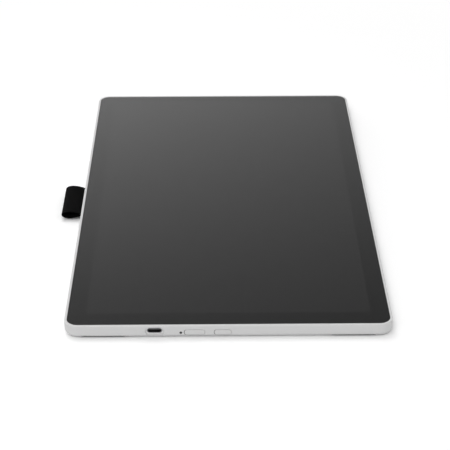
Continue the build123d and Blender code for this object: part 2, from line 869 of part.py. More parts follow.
def make_display_tails():
    """Film tails from the array glass, folded under the panel to the driver board."""
    ledge = -lcd_width / 2 + array_ledge - tail_bulge / 2
    outside = -lcd_width / 2 - tail_bulge
    upper = array_glass_top + driver_tail_thickness / 2
    lower = driver_board_bottom - driver_tail_thickness / 2
    end = driver_board_front_y + driver_tail_bond
    points = [(ledge, upper), (outside, upper), (outside, lower), (end, lower)]
    tails = []
    for x in tail_places():
        plane = Plane.YZ.offset(x)
        tails.append(ribbon(points, driver_tail_thickness, flex_bend_radius, plane, driver_tail_width))
    return Compound([solid for tail in tails for solid in tail.solids()])


def make_array_glass():
    """Lower glass of the display cell, with its ledge for the tails along the front."""
    return sheet(lcd_length, lcd_width, films_top, array_glass_top)


def make_colour_glass():
    """Upper glass of the display cell, short of the ledge."""
    y_range = (-lcd_width / 2 + array_ledge, lcd_width / 2)
    return block(around(0, lcd_length), y_range, (array_glass_top, colour_glass_top))


def make_bond():
    """Clear adhesive between the display cell and the cover glass."""
    y_range = (-lcd_width / 2 + array_ledge, lcd_width / 2)
    return block(around(0, lcd_length), y_range, (colour_glass_top, glass_bottom))


def make_tray():
    """Folded steel tray of the backlight, with low side walls."""
    tray = sheet(lcd_length, lcd_width, sensor_top, films_top)
    return tray - sheet(lcd_length - 2 * tray_thickness, lcd_width - 2 * tray_thickness, tray_top, glass_top)


def light_limits(inset):
    """Length and width of the tray's inside less an inset on each side."""
    return (lcd_length - 2 * tray_thickness - 2 * inset, lcd_width - 2 * tray_thickness - 2 * inset)


def make_light_frame():
    """White plastic frame in the tray that the display cell rests on."""
    outer = sheet(*light_limits(light_frame_gap), tray_top, films_top)
    return outer - sheet(*light_limits(light_frame_gap + light_frame_width), tray_top - overrun, glass_top)


def light_layer(bottom, top, front_inset):
    """One layer inside the light frame, cut short at the front by an inset."""
    length, width = light_limits(2 * light_frame_gap + light_frame_width)
    return block(around(0, length), (-width / 2 + front_inset, width / 2), (bottom, top))


def make_led_strip():
    """Row of lamps on a narrow strip along the front of the light guide."""
    length, width = light_limits(2 * light_frame_gap + light_frame_width)
    strip_top = reflector_top + light_strip_thickness
    strip = block(around(0, length), (-width / 2, -width / 2 + light_strip_width), (reflector_top, strip_top))
    half = (length - length / led_count) / 2
    y_range = (-width / 2 + light_strip_width - led_block_width, -width / 2 + light_strip_width)
    lamps = []
    for x in spread(led_count, -half, half):
        lamps.append(block(around(x, led_block_length), y_range, (strip_top, strip_top + led_block_height)))
    return strip + lamps


def make_plate():
    """Stiffening plate with screw ears and lightening slots."""
    length = lcd_length - 2 * plate_inset
    width = lcd_width - 2 * plate_inset
    plate = sheet(length, width, plate_bottom, plate_top)
    ear_end = frame_width / 2 - skirt_thickness - fit_gap
    ears = []
    for x, y in plate_screw_places():
        side = math.copysign(1, y)
        y_range = sorted((side * (width / 2 - overrun), side * ear_end))
        ears.append(block(around(x, plate_ear_width), y_range, (plate_bottom, plate_top)))
    plate = plate + ears
    hole_radius = plate_screw_radius + fit_gap
    cuts = [rod(place, hole_radius, floor_top, glass_bottom) for place in plate_screw_places()]
    half_x = length * plate_slot_shares[0] / 2
    half_y = width * plate_slot_shares[1] / 2
    for x in spread(plate_slot_x_count, -half_x, half_x):
        for y in spread(plate_slot_y_count, -half_y, half_y):
            slot = block(around(x, plate_slot_length), around(y, plate_slot_width), (floor_top, glass_bottom))
            cuts.append(chamfer(slot.edges().filter_by(Axis.Z), plate_slot_width / 4))
    return plate - cuts


def make_shield():
    """Foil behind the pen sensor."""
    length, width = (lcd_length - 2 * sensor_inset, lcd_width - 2 * sensor_inset)
    return sheet(length, width, plate_top, shield_top)


def make_sensor():
    """Circuit board with the pen's grid of antennas."""
    length, width = (lcd_length - 2 * sensor_inset, lcd_width - 2 * sensor_inset)
    return sheet(length, width, shield_top, sensor_top)


def make_foam_pads():
    """Foam pads between the cover's floor and the stiffening plate, in every other rib cell."""
    rib_x = spread(rib_x_count, rib_left_x, rib_right_x)
    rib_y = spread(rib_y_count, rib_front_y, rib_rear_y)
    pads = []
    for i in range(0, rib_x_count - 1, 2):
        for j in range(0, rib_y_count - 1, 2):
            x = (rib_x[i] + rib_x[i + 1]) / 2
            y = (rib_y[j] + rib_y[j + 1]) / 2
            pads.append(block(around(x, pad_length), around(y, pad_width), (floor_top, plate_bottom)))
    return Compound(pads)


def loop_section(inset):
    """Closed lens outline of the loop outside the wall, drawn inwards by an inset."""
    start = wall_outer_y + 2 * inset
    nose = wall_outer_y + loop_reach - inset
    shoulder = wall_outer_y + loop_reach - loop_nose_radius
    crown = wall_outer_y + loop_reach * loop_crown_share
    root = loop_fabric - inset
    half = loop_height / 2 - inset
    nose_half = loop_nose_radius - inset
    upper = ThreePointArc((start, loop_z + root), (crown, loop_z + half), (shoulder, loop_z + nose_half))
    tip = ThreePointArc((shoulder, loop_z + nose_half), (nose, loop_z), (shoulder, loop_z - nose_half))
    lower = ThreePointArc((shoulder, loop_z - nose_half), (crown, loop_z - half), (start, loop_z - root))
    edges = [upper, tip, lower]
    if root > 0:
        edges.append(Line((start, loop_z - root), (start, loop_z + root)))
    return make_face(Curve(edges).edges())


def make_pen_loop():
    """Elastic band folded into a flat loop, with its two tails lying together through the slot."""
    plane = Plane.YZ.offset(loop_x)
    band = extrude(plane * (loop_section(0) - loop_section(loop_fabric)), loop_width / 2, both=True)
    tails = block(around(loop_x, loop_width), (loop_inner_y, wall_outer_y), (loop_bottom, loop_top))
    return band + tails


def make_loop_clamp():
    """Bar screwed down over the loop's tails."""
    y_range = (loop_inner_y, loop_inner_y + clamp_width)
    z_range = (loop_top, loop_top + clamp_thickness)
    bar = block(around(loop_x, 2 * clamp_half), y_range, z_range)
    bar = chamfer(bar.edges().filter_by(Axis.Z), clamp_width / 3)
    return bar - [
        rod(place, board_screw_radius + fit_gap, loop_bottom, glass_bottom) for place in clamp_screw_places()
    ]


def make_inserts():
    """Threaded brass inserts in the frame's bosses."""
    tubes = []
    for place in cover_screw_places():
        tube = rod(place, insert_radius, cover_boss_top, cover_boss_top + insert_length)
        tubes.append(tube - rod(place, cover_screw_radius + bore_gap, floor_top, glass_bottom))
    return Compound([solid for tube in tubes for solid in tube.solids()])


def screw_group(places, shank_radius, head_radius, seat, length, head_height, up):
    """All screws of one kind."""
    screws = [pan_screw(p, shank_radius, head_radius, seat, length, head_height, up) for p in places]
    return Compound([solid for screw in screws for solid in screw.solids()])


def make_screws():
    """Cover, main board, stiffening plate and loop clamp screws."""
    return {
        "cover_screws": screw_group(
            cover_screw_places(),
            cover_screw_radius,
            cover_head_radius,
            cover_boss_top - cover_head_height,
            cover_screw_length,
            cover_head_height,
            1,
        ),
        "board_screws": screw_group(
            board_screw_places(),
            board_screw_radius,
            board_head_radius,
            board_top,
            board_screw_length,
            board_head_height,
            -1,
        ),
        "plate_screws": screw_group(
            plate_screw_places(),
            plate_screw_radius,
            plate_head_radius,
            plate_bottom,
            plate_screw_length,
            plate_head_height,
            1,
        ),
        "loop_clamp_screws": screw_group(
            clamp_screw_places(),
            board_screw_radius,
            board_head_radius,
            loop_top + clamp_thickness,
            clamp_screw_length,
            board_head_height,
            -1,
        ),
    }


def make_tablet():
    """Every piece of the tablet by name, round the tablet's own centre."""
    return {
        "back_cover": make_back_cover(),
        "mid_frame": make_mid_frame(),
        "glass_tape": make_glass_tape(),
        "cover_glass": make_cover_glass(),
        "optical_adhesive": make_bond(),
        "colour_filter_glass": make_colour_glass(),
        "array_glass": make_array_glass(),
        "display_tails": make_display_tails(),
        "display_driver_board": make_driver_board(),
        "driver_board_tape": make_driver_tape(),
        "backlight_films": light_layer(light_guide_top, films_top, 0),
        "light_guide": light_layer(reflector_top, light_guide_top, light_strip_width + light_frame_gap),
        "backlight_strip": make_led_strip(),
        "reflector_sheet": light_layer(tray_top, reflector_top, 0),
        "backlight_frame": make_light_frame(),
        "backlight_tray": make_tray(),
        "pen_sensor_board": make_sensor(),
        "sensor_shield": make_shield(),
        "stiffening_plate": make_plate(),
        "insulating_sheet": make_insulating_sheet(),
        "main_board": make_main_board(),
        "board_chips": make_board_chips(),
        "processor": make_processor(),
        "shield_can": make_shield_can(),
        "display_connectors": make_display_connectors(),
        "display_cable": make_display_cable(),
        "sensor_connector": make_sensor_connector(),
        "sensor_cable": make_sensor_cable(),
        "usb_c_shell": make_usb_shell(),
        "usb_c_tongue": make_usb_tongue(),
        "usb_c_contacts": make_usb_contacts(),
        "status_led": make_status_led(),
        "light_pipe": make_light_pipe(),
        "power_key": make_key(power_key_y, power_key_width),
        "power_switch": make_switch(power_key_y),
        "power_switch_plunger": make_plunger(power_key_y),
        "menu_key": make_key(menu_key_y, menu_key_width),
        "menu_switch": make_switch(menu_key_y),
        "menu_switch_plunger": make_plunger(menu_key_y),
        "foam_pads": make_foam_pads(),
        "threaded_inserts": make_inserts(),
        "pen_loop": make_pen_loop(),
        "loop_clamp": make_loop_clamp(),
        **make_feet(),
        **make_screws(),
    }


os.makedirs("parts", exist_ok=True)
for name, piece in make_tablet().items():
    export_step(Pos(0, -loop_reach / 2, 0) * piece, f"parts/{name}.step")
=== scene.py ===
"""Pen display tablet: finishes, pen loop, light and camera, laid out as an add-on and run as a script."""

import math

import bmesh
import bpy
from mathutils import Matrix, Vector


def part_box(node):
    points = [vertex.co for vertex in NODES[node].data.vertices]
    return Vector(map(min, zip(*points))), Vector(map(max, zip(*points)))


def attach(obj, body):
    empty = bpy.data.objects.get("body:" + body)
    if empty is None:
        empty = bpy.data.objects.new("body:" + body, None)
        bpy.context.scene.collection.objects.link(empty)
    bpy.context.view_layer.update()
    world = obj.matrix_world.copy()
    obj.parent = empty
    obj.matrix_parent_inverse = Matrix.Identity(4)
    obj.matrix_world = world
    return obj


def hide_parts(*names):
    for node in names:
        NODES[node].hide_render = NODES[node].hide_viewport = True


bl_info = {
    "name": "Pen Display Tablet",
    "version": (1, 0, 0),
    "blender": (4, 5, 0),
    "location": "View3D > Sidebar > Tablet",
    "description": "Finishes, pen loop and studio for a pen display tablet",
    "category": "Object",
}

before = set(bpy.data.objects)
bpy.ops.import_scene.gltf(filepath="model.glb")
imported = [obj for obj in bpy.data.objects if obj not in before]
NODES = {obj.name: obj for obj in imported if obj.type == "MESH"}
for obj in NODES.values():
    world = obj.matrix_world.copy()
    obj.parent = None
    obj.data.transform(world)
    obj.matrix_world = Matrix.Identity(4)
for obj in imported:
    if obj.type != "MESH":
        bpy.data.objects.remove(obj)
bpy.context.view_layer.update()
MM = 0.001
# A wave texture comes round again after this many of its own units.
WAVE_LENGTH = math.pi / 10
TABLET = "tablet_body"
# Each hole in the near wall is a slot with round ends: half its straight length, its radius to the middle of
# the joint, and the share of the painted shade that the joint keeps away from its left end. The keys sit to
# the right in their holes.
JOINT_SHADE = {
    "power_key": (4.4 * MM, 1.9 * MM, 0.1),
    "menu_key": (3.35 * MM, 1.9 * MM, 0.1),
    "light_pipe": (0.0, 0.67 * MM, 1.0),
}
# Soft lights, aimed at the tablet's middle: place, size in metres, and brightness of the face.
SOFTBOXES = {
    "overhead_softbox": ((0.6, 0.37, 2.12), (1.2, 1.2), 2.7),
    "front_softbox": ((-1.6, 0.4, 1.6), (1.6, 1.2), 2.8),
}
PAPER_REACH = 6.0
PAPER_DROP = 0.05 * MM
# Steps along half of the loop's line: in the slot, up to the crown, and round the fold. The line is eased a
# number of times, with its first and last steps held, and then drawn in even steps.
TAIL_STEPS = 30
RISE_STEPS = 60
FOLD_STEPS = 40
EASINGS = 40
HELD_STEPS = 20
LOOP_STEPS = 150
CORD_COLUMNS = 8
# Thickness of the elastic's selvedge, as a share of its middle.
EDGE_SHARE = 0.35


def linear(colour):
    """Scene linear value of an sRGB hex colour."""
    parts = [int(colour[i : i + 2], 16) / 255 for i in (1, 3, 5)]
    return tuple(c / 12.92 if c <= 0.04045 else ((c + 0.055) / 1.055) ** 2.4 for c in parts)


def rgba(colour):
    """Colour socket value of an sRGB hex colour or of a linear colour property."""
    return (*(linear(colour) if isinstance(colour, str) else colour), 1.0)


def add_node(tree, kind, sockets=None, feeds=None, **settings):
    """Adds a node with its settings and links, and gives back its outputs.

    A socket gets a value, or a link where it is given an output. Feeds names the socket an output goes to.
    """
    made = tree.nodes.new(kind)
    for name, value in settings.items():
        setattr(made, name, value)
    for key, value in (sockets or {}).items():
        if isinstance(value, bpy.types.NodeSocket):
            tree.links.new(value, made.inputs[key])
        else:
            made.inputs[key].default_value = value
    for key, target in (feeds or {}).items():
        tree.links.new(made.outputs[key], target)
    return made.outputs


def start_material(name, colour, roughness, metallic=0.0, ior=1.5):
    """Material with a plain surface: itself, its tree, the surface's sockets and coordinates in metres."""
    made = bpy.data.materials.new(name)
    made.use_nodes = True
    tree = made.node_tree
    tree.nodes.clear()
    surface = tree.nodes.new("ShaderNodeBsdfPrincipled")
    surface.inputs["Base Color"].default_value = rgba(colour)
    surface.inputs["Roughness"].default_value = roughness
    surface.inputs["Metallic"].default_value = metallic
    surface.inputs["IOR"].default_value = ior
    add_node(tree, "ShaderNodeOutputMaterial", {"Surface": surface.outputs["BSDF"]})
    place = add_node(tree, "ShaderNodeTexCoord")["Object"]
    return made, tree, surface.inputs, place


def shade(made, *names):
    """Gives packed pieces a material."""
    for name in names:
        data = NODES[name].data
        data.materials.clear()
        data.materials.append(made)


def moulded_white_abs(settings):
    """White ABS, injection moulded in a spark eroded tool: a soft, even sheen with a very fine pebble.

    Painted shade lies along the joint lines round the keys and the light pipe. It is drawn as thin dark
    lines, wider than the gaps, and is fullest at the keys' left ends, where light from the left leaves them
    in shadow.
    """
    colour = tuple(settings.case_colour)
    made, tree, surface, place = start_material("white_abs_moulded", colour, 0.42, ior=1.53)
    # The spark leaves pits of some 50 microns, drawn coarser here, so that a close view shows them.
    pebble = add_node(
        tree, "ShaderNodeTexNoise", {"Vector": place, "Scale": 1 / settings.case_grain, "Detail": 3.0}
    )["Fac"]
    # Slow drift in the pigment, too faint to read as dirt.
    drift = add_node(
        tree, "ShaderNodeTexNoise", {"Vector": place, "Scale": 1 / (38 * MM), "Detail": 2.0}
    )["Fac"]
    darker = rgba(tuple(c * 0.955 for c in colour))
    plain = add_node(tree, "ShaderNodeMix", {0: drift, 6: rgba(colour), 7: darker}, data_type="RGBA")[2]
    painted_joint_shade = 0.0
    # Painted shade along each joint, where the gap would lie in shadow, drawn wider than the gap so that it
    # shows.
    for name, (straight, radius, shade_away_from_left) in JOINT_SHADE.items():
        low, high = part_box(name)
        middle = (low + high) / 2
        off = add_node(
            tree, "ShaderNodeVectorMath", {0: place, 1: (0.0, middle.y, middle.z)}, operation="SUBTRACT"
        )[0]
        flat = add_node(tree, "ShaderNodeVectorMath", {0: off, 1: (0.0, 1.0, 1.0)}, operation="MULTIPLY")[0]
        folded = add_node(tree, "ShaderNodeVectorMath", {0: flat}, operation="ABSOLUTE")[0]
        past = add_node(
            tree, "ShaderNodeVectorMath", {0: folded, 1: (0.0, straight, 0.0)}, operation="SUBTRACT"
        )[0]
        held = add_node(tree, "ShaderNodeVectorMath", {0: past, 1: (0.0, 0.0, 0.0)}, operation="MAXIMUM")[0]
        away = add_node(tree, "ShaderNodeVectorMath", {0: held}, operation="LENGTH")["Value"]
        off_joint = add_node(tree, "ShaderNodeMath", {0: away, 1: radius}, operation="SUBTRACT")[0]
        beside = add_node(tree, "ShaderNodeMath", {0: off_joint}, operation="ABSOLUTE")[0]
        dark = add_node(
            tree, "ShaderNodeMapRange", {"Value": beside, 1: 0.12 * MM, 2: 0.18 * MM, 3: 1.0, 4: 0.0}
        )["Result"]
        # Away from its left end a joint keeps only part of its painted shade, because the light comes from
        # the left.
        left = add_node(tree, "ShaderNodeSeparateXYZ", {0: off})[1]
        share = add_node(
            tree,
            "ShaderNodeMapRange",
            {"Value": left, 1: straight + 0.6 * MM, 2: straight + 1.4 * MM, 3: shade_away_from_left, 4: 1.0},
        )["Result"]
        painted_joint_shade = add_node(
            tree, "ShaderNodeMath", {0: dark, 1: share, 2: painted_joint_shade}, operation="MULTIPLY_ADD"
        )[0]
    length = add_node(tree, "ShaderNodeSeparateXYZ", {0: place})[0]
    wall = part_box("power_key")[0].x
    near = add_node(
        tree, "ShaderNodeMapRange", {"Value": length, 1: wall + 3 * MM, 2: wall + 4 * MM, 3: 1.0, 4: 0.0}
    )["Result"]
    shown = add_node(tree, "ShaderNodeMath", {0: painted_joint_shade, 1: near}, operation="MULTIPLY", use_clamp=True)[0]
    # The painted shade goes on in near black over the case colour.
    add_node(
        tree,
        "ShaderNodeMix",
        {0: shown, 6: plain, 7: rgba("#1C1C1C")},
        {2: surface["Base Color"]},
        data_type="RGBA",
    )
    # The pebble breaks the sheen up, so the roughness follows it.
    add_node(
        tree,
        "ShaderNodeMapRange",
        {"Value": pebble, 1: 0.3, 2: 0.7, 3: 0.36, 4: 0.5},
        {"Result": surface["Roughness"]},
    )
    add_node(
        tree,
        "ShaderNodeBump",
        {"Height": pebble, "Distance": 0.012 * MM, "Strength": 0.5},
        {"Normal": surface["Normal"]},
    )
    return made


def moulded_black_nylon():
    """Glass filled nylon, moulded: dull black with faint flow marks from the fibres."""
    made, tree, surface, place = start_material("black_nylon_moulded", "#111112", 0.55, ior=1.53)
    stretched = add_node(tree, "ShaderNodeMapping", {"Vector": place, "Scale": (1.0, 0.2, 1.0)})["Vector"]
    flow = add_node(
        tree, "ShaderNodeTexNoise", {"Vector": stretched, "Scale": 1 / (0.9 * MM), "Detail": 4.0}
    )["Fac"]
    add_node(
        tree,
        "ShaderNodeMix",
        {0: flow, 6: rgba("#0D0D0E"), 7: rgba("#1A1A1B")},
        {2: surface["Base Color"]},
        data_type="RGBA",
    )
    add_node(
        tree,
        "ShaderNodeBump",
        {"Height": flow, "Distance": 0.01 * MM, "Strength": 0.5},
        {"Normal": surface["Normal"]},
    )
    return made


def etched_cover_glass(settings):
    """Soda lime glass, acid etched on top and printed black behind: satin, with a wide soft reflection.

    The printed border is darker than the switched off display inside it, and the edge between is crisp.
    """
    made, tree, surface, place = start_material(
        "etched_glass_printed", settings.display_colour, settings.etch_roughness, ior=1.52
    )
    low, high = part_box("cover_glass")
    off = add_node(
        tree, "ShaderNodeVectorMath", {0: place, 1: (0.0, (low.y + high.y) / 2, 0.0)}, operation="SUBTRACT"
    )[0]
    folded = add_node(tree, "ShaderNodeVectorMath", {0: off}, operation="ABSOLUTE")[0]
    half = (settings.active_length / 2, settings.active_width / 2, 0.0)
    past = add_node(tree, "ShaderNodeVectorMath", {0: folded, 1: half}, operation="SUBTRACT")[0]
    axes = add_node(tree, "ShaderNodeSeparateXYZ", {0: past})
    outside = add_node(tree, "ShaderNodeMath", {0: axes[0], 1: axes[1]}, operation="MAXIMUM")[0]
    edge = settings.print_edge / 2
    border = add_node(
        tree, "ShaderNodeMapRange", {"Value": outside, 1: -edge, 2: edge, 3: 0.0, 4: 1.0}
    )["Result"]
    add_node(
        tree,
        "ShaderNodeMix",
        {0: border, 6: rgba(settings.display_colour), 7: rgba(settings.border_colour)},
        {2: surface["Base Color"]},
        data_type="RGBA",
    )
    # Etching leaves pits of some 20 microns, drawn coarser here, so that a close view shows them.
    pits = add_node(
        tree, "ShaderNodeTexNoise", {"Vector": place, "Scale": 1 / settings.etch_grain, "Detail": 2.0}
    )["Fac"]
    etch = settings.etch_roughness
    add_node(
        tree,
        "ShaderNodeMapRange",
        {"Value": pits, 1: 0.3, 2: 0.7, 3: etch - 0.05, 4: etch + 0.05},
        {"Result": surface["Roughness"]},
    )
    add_node(
        tree,
        "ShaderNodeBump",
        {"Height": pits, "Distance": 0.004 * MM, "Strength": 0.35},
        {"Normal": surface["Normal"]},
    )
    return made


def moulded_rubber():
    """Silicone rubber, compression moulded and lightly blasted: near black, dull, with a dusty bloom."""
    made, tree, surface, place = start_material("silicone_rubber_moulded", "#1E1E1E", 0.78, ior=1.43)
    tooth = add_node(
        tree, "ShaderNodeTexNoise", {"Vector": place, "Scale": 1 / (0.35 * MM), "Detail": 3.0}
    )["Fac"]
    bloom = add_node(
        tree, "ShaderNodeTexNoise", {"Vector": place, "Scale": 1 / (7 * MM), "Detail": 3.0}
    )["Fac"]
    dust = add_node(
        tree, "ShaderNodeMapRange", {"Value": bloom, 1: 0.35, 2: 0.75, 3: 0.0, 4: 1.0}
    )["Result"]
    add_node(
        tree,
        "ShaderNodeMix",
        {0: dust, 6: rgba("#1A1A1A"), 7: rgba("#2A2A2A")},
        {2: surface["Base Color"]},
        data_type="RGBA",
    )
    add_node(
        tree,
        "ShaderNodeBump",
        {"Height": tooth, "Distance": 0.03 * MM, "Strength": 0.6},
        {"Normal": surface["Normal"]},
    )
    return made


def woven_elastic(settings):
    """Woven elastic, polyester over rubber threads: matt black, cross threads in each cord, some fuzz."""
    colour = tuple(settings.elastic_colour)
    made, tree, surface, place = start_material("polyester_elastic_woven", colour, 0.88)
    # Light dies between the fibres, so almost none of it comes back as gloss.
    surface["Specular IOR Level"].default_value = 0.06
    path = add_node(tree, "ShaderNodeAttribute", attribute_name="weave")["Vector"]
    axes = add_node(tree, "ShaderNodeSeparateXYZ", {0: path})
    # Cross threads: one bead after another along each cord, offset by half a bead in every other cord.
    turns = 2 * math.pi / (settings.thread_spacing / MM)
    cord_turns = math.pi / (settings.cord_spacing / MM)
    along = add_node(tree, "ShaderNodeMath", {0: axes[1], 1: turns}, operation="MULTIPLY")[0]
    across = add_node(tree, "ShaderNodeMath", {0: axes[0], 1: cord_turns}, operation="MULTIPLY")[0]
    wave = add_node(tree, "ShaderNodeMath", {0: along}, operation="SINE")[0]
    row = add_node(tree, "ShaderNodeMath", {0: across}, operation="SINE")[0]
    beads = add_node(tree, "ShaderNodeMath", {0: wave, 1: row}, operation="MULTIPLY")[0]
    weave = add_node(
        tree, "ShaderNodeMapRange", {"Value": beads, 1: -1.0, 2: 1.0, 3: 0.0, 4: 1.0}
    )["Result"]
    fuzz = add_node(
        tree, "ShaderNodeTexNoise", {"Vector": place, "Scale": 1 / (0.12 * MM), "Detail": 2.0}
    )["Fac"]
    relief = add_node(tree, "ShaderNodeMath", {0: fuzz, 1: 0.5, 2: weave}, operation="MULTIPLY_ADD")[0]
    # The hollows between the beads get painted shade: the dye is darkened to under half where the bump is
    # lowest.
    darker = rgba(tuple(c * 0.45 for c in colour))
    add_node(
        tree,
        "ShaderNodeMix",
        {0: weave, 6: darker, 7: rgba(colour)},
        {2: surface["Base Color"]},
        data_type="RGBA",
    )
    add_node(
        tree,
        "ShaderNodeBump",
        {"Height": relief, "Distance": 0.06 * MM, "Strength": 0.8},
        {"Normal": surface["Normal"]},
    )
    return made


def plated_steel(name, colour, roughness):
    """Steel, stamped or headed, then plated: bright grey with fine directionless scratches."""
    made, tree, surface, place = start_material(name, colour, roughness, metallic=1.0)
    scuffs = add_node(
        tree, "ShaderNodeTexNoise", {"Vector": place, "Scale": 1 / (0.25 * MM), "Detail": 5.0}
    )["Fac"]
    add_node(
        tree,
        "ShaderNodeMapRange",
        {"Value": scuffs, 1: 0.3, 2: 0.7, 3: roughness - 0.08, 4: roughness + 0.1},
        {"Result": surface["Roughness"]},
    )
    add_node(
        tree,
        "ShaderNodeBump",
        {"Height": scuffs, "Distance": 0.002 * MM, "Strength": 0.4},
        {"Normal": surface["Normal"]},
    )
    return made


def turned_brass():
    """Brass, turned and knurled: warm yellow with rings left by the tool, 0.38 mm apart."""
    made, tree, surface, place = start_material("brass_turned", "#C9A24E", 0.3, metallic=1.0)
    rings = add_node(
        tree,
        "ShaderNodeTexWave",
        {"Vector": place, "Scale": WAVE_LENGTH / (0.38 * MM), "Distortion": 0.6},
        bands_direction="Z",
    )["Fac"]
    add_node(
        tree,
        "ShaderNodeMix",
        {0: rings, 6: rgba("#B8923F"), 7: rgba("#D8B566")},
        {2: surface["Base Color"]},
        data_type="RGBA",
    )
    add_node(
        tree,
        "ShaderNodeBump",
        {"Height": rings, "Distance": 0.02 * MM, "Strength": 0.6},
        {"Normal": surface["Normal"]},
    )
    return made


def gold_plated_copper():
    """Copper alloy contacts, stamped and gold plated: warm and bright with faint wear."""
    made, tree, surface, place = start_material("copper_gold_plated", "#D9B25A", 0.25, metallic=1.0)
    wear = add_node(
        tree, "ShaderNodeTexNoise", {"Vector": place, "Scale": 1 / (0.3 * MM), "Detail": 3.0}
    )["Fac"]
    add_node(
        tree,
        "ShaderNodeMix",
        {0: wear, 6: rgba("#D9B25A"), 7: rgba("#BF9446")},
        {2: surface["Base Color"]},
        data_type="RGBA",
    )
    add_node(
        tree,
        "ShaderNodeBump",
        {"Height": wear, "Distance": 0.002 * MM, "Strength": 0.4},
        {"Normal": surface["Normal"]},
    )
    return made


def solder_mask_board(name, base, trace):
    """Glass epoxy board under solder mask: dark green, with tracks that stand a little proud."""
    made, tree, surface, place = start_material(name, base, 0.32, ior=1.55)
    tracks = add_node(
        tree,
        "ShaderNodeTexBrick",
        {
            "Vector": place,
            "Scale": 1.0,
            "Mortar Size": 0.22 * MM,
            "Mortar Smooth": 0.1,
            "Brick Width": 9.3 * MM,
            "Row Height": 1.1 * MM,
        },
        offset=0.37,
    )["Fac"]
    areas = add_node(
        tree, "ShaderNodeTexNoise", {"Vector": place, "Scale": 1 / (16 * MM), "Detail": 1.0}
    )["Fac"]
    routed = add_node(
        tree, "ShaderNodeMapRange", {"Value": areas, 1: 0.42, 2: 0.5, 3: 0.0, 4: 1.0}
    )["Result"]
    shown = add_node(tree, "ShaderNodeMath", {0: tracks, 1: routed}, operation="MULTIPLY")[0]
    add_node(
        tree,
        "ShaderNodeMix",
        {0: shown, 6: rgba(base), 7: rgba(trace)},
        {2: surface["Base Color"]},
        data_type="RGBA",
    )
    add_node(
        tree,
        "ShaderNodeBump",
        {"Height": shown, "Distance": 0.03 * MM, "Strength": 0.5},
        {"Normal": surface["Normal"]},
    )
    return made


def polyimide_flex():
    """Polyimide film over copper: amber, glossy, with straight tracks 1 mm apart showing through."""
    made, tree, surface, place = start_material("polyimide_film_laminated", "#A8641E", 0.28, ior=1.7)
    tracks = add_node(
        tree,
        "ShaderNodeTexWave",
        {"Vector": place, "Scale": WAVE_LENGTH / (1.0 * MM)},
        bands_direction="DIAGONAL",
    )["Fac"]
    add_node(
        tree,
        "ShaderNodeMix",
        {0: tracks, 6: rgba("#8C4E14"), 7: rgba("#BE7A2C")},
        {2: surface["Base Color"]},
        data_type="RGBA",
    )
    add_node(
        tree,
        "ShaderNodeBump",
        {"Height": tracks, "Distance": 0.01 * MM, "Strength": 0.4},
        {"Normal": surface["Normal"]},
    )
    return made


def float_glass():
    """Thin float glass of the display cell: near black while it is off, mirror smooth, faintly clouded."""
    made, tree, surface, place = start_material("display_glass_polished", "#141519", 0.08, ior=1.52)
    haze = add_node(
        tree, "ShaderNodeTexNoise", {"Vector": place, "Scale": 1 / (24 * MM), "Detail": 1.0}
    )["Fac"]
    add_node(
        tree,
        "ShaderNodeMix",
        {0: haze, 6: rgba("#141519"), 7: rgba("#202226")},
        {2: surface["Base Color"]},
        data_type="RGBA",
    )
    add_node(
        tree,
        "ShaderNodeBump",
        {"Height": haze, "Distance": 0.002 * MM, "Strength": 0.2},
        {"Normal": surface["Normal"]},
    )
    return made


def satin_plastic(name, colour, roughness, tooth_size, ior=1.49):
    """Extruded film or small moulding in plastic or resin: satin, with a faint even tooth and a cloud."""
    made, tree, surface, place = start_material(name, colour, roughness, ior=ior)
    tooth = add_node(
        tree, "ShaderNodeTexNoise", {"Vector": place, "Scale": 1 / (tooth_size * MM), "Detail": 2.0}
    )["Fac"]
    cloud = add_node(
        tree, "ShaderNodeTexNoise", {"Vector": place, "Scale": 1 / (30 * MM), "Detail": 1.0}
    )["Fac"]
    deeper = rgba(tuple(c * 0.9 for c in linear(colour)))
    mottled = add_node(tree, "ShaderNodeMix", {0: cloud, 6: rgba(colour), 7: deeper}, data_type="RGBA")[2]
    add_node(
        tree,
        "ShaderNodeMix",
        {0: tooth, 6: mottled, 7: rgba(colour)},
        {2: surface["Base Color"]},
        data_type="RGBA",
    )
    add_node(
        tree,
        "ShaderNodeMapRange",
        {"Value": tooth, 1: 0.3, 2: 0.7, 3: roughness - 0.06, 4: roughness + 0.06},
        {"Result": surface["Roughness"]},
    )
    add_node(
        tree,
        "ShaderNodeBump",
        {"Height": tooth, "Distance": 0.006 * MM, "Strength": 0.4},
        {"Normal": surface["Normal"]},
    )
    return made


def rolled_metal_sheet(name, colour, roughness):
    """Rolled sheet or foil: grey, brushed along its length by the mill."""
    made, tree, surface, place = start_material(name, colour, roughness, metallic=1.0)
    stretched = add_node(tree, "ShaderNodeMapping", {"Vector": place, "Scale": (0.02, 1.0, 1.0)})["Vector"]
    lines = add_node(
        tree, "ShaderNodeTexNoise", {"Vector": stretched, "Scale": 1 / (0.3 * MM), "Detail": 4.0}
    )["Fac"]
    add_node(
        tree,
        "ShaderNodeMapRange",
        {"Value": lines, 1: 0.3, 2: 0.7, 3: roughness - 0.1, 4: roughness + 0.1},
        {"Result": surface["Roughness"]},
    )
    add_node(
        tree,
        "ShaderNodeBump",
        {"Height": lines, "Distance": 0.004 * MM, "Strength": 0.4},
        {"Normal": surface["Normal"]},
    )
    return made


